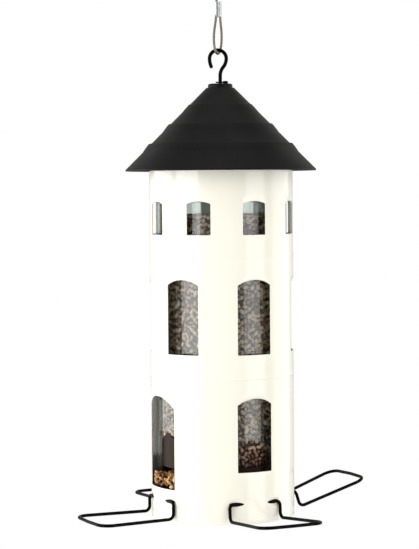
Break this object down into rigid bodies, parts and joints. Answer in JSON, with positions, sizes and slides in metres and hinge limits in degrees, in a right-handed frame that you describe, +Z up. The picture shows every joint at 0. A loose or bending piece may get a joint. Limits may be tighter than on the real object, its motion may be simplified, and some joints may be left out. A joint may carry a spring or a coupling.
{
  "type": "bird feeder",
  "caption": "Hanging tube bird feeder: windowed steel tower over a clear seed tube, folding wire perches, lift-up conical roof, swivel hook and steel cable.",
  "frame": {"origin": "centre of the flat base, on the surface it would stand on", "axes": "+Z up the tower; front door and perch towards -Y, right door towards +X"},
  "size_m": [0.2296, 0.2296, 0.45],
  "materials": {
    "enamel": "gloss cream-white enamel on thin steel",
    "roof_black": "fine-textured matte black powder coat",
    "black_wire": "gloss black coated steel wire",
    "clear_acrylic": "clear extruded acrylic",
    "brown_plastic": "moulded dark brown, satin",
    "screw_steel": "plated steel",
    "strip_steel": "zinc-plated strip",
    "cable_steel": "stranded steel rope",
    "ferrule_metal": "pressed aluminium",
    "seed": "mixed brown seed",
    "seed_loose": "loose tan seed"
  },
  "bodies": {
    "tower": {"tower_shell": "enamel", "floor_pan": "enamel", "base_screws": "screw_steel", "feed_tray": "brown_plastic", "tube_foot_ring": "brown_plastic", "seed_tube": "clear_acrylic", "seed_ramp": "brown_plastic", "seed_fill": "seed", "tray_seed": "seed_loose", "tube_collar": "brown_plastic", "hanger_bar": "strip_steel", "bar_rivets": "strip_steel"},
    "roof": {"roof_cone": "roof_black", "roof_collar": "roof_black", "roof_seat_ring": "roof_black"},
    "hanger": {"hanger_hook": "black_wire", "cap_pin": "black_wire", "stem_nut": "screw_steel", "stem_spacer": "strip_steel", "roof_cap": "roof_black"},
    "tether": {"cable": "cable_steel", "cable_ferrule_lower": "ferrule_metal", "cable_ferrule_upper": "ferrule_metal"},
    "front_perch": {"perch_front": "black_wire"},
    "left_perch": {"perch_left": "black_wire"},
    "right_perch": {"perch_right": "black_wire"},
    "rear_perch": {"perch_rear": "black_wire"}
  },
  "joints": [
    {"name": "roof_lift", "type": "slide", "parent": "tower", "child": "roof", "axis": [0, 0, 1], "range_m": [0, 0.06]},
    {"name": "hook_swivel", "type": "hinge", "parent": "tower", "child": "hanger", "pos_m": [0, 0, 0.274], "axis": [0, 0, 1], "continuous": true},
    {"name": "cable_sway", "type": "hinge", "parent": "hanger", "child": "tether", "pos_m": [-0.00143, 0.00082, 0.3559], "axis": [0.866, -0.5, 0], "range_deg": [-10, 10]},
    {"name": "front_perch_fold", "type": "hinge", "parent": "tower", "child": "front_perch", "pos_m": [0, -0.0525, 0.0154], "axis": [-1, 0, 0], "range_deg": [-4.5, 90.5]},
    {"name": "left_perch_fold", "type": "hinge", "parent": "tower", "child": "left_perch", "pos_m": [-0.0525, 0, 0.0154], "axis": [0, 1, 0], "range_deg": [0, 95]},
    {"name": "right_perch_fold", "type": "hinge", "parent": "tower", "child": "right_perch", "pos_m": [0.0525, 0, 0.0154], "axis": [0, -1, 0], "range_deg": [-18, 77]},
    {"name": "rear_perch_fold", "type": "hinge", "parent": "tower", "child": "rear_perch", "pos_m": [0, 0.0525, 0.0154], "axis": [1, 0, 0], "range_deg": [0, 95]}
  ]
}
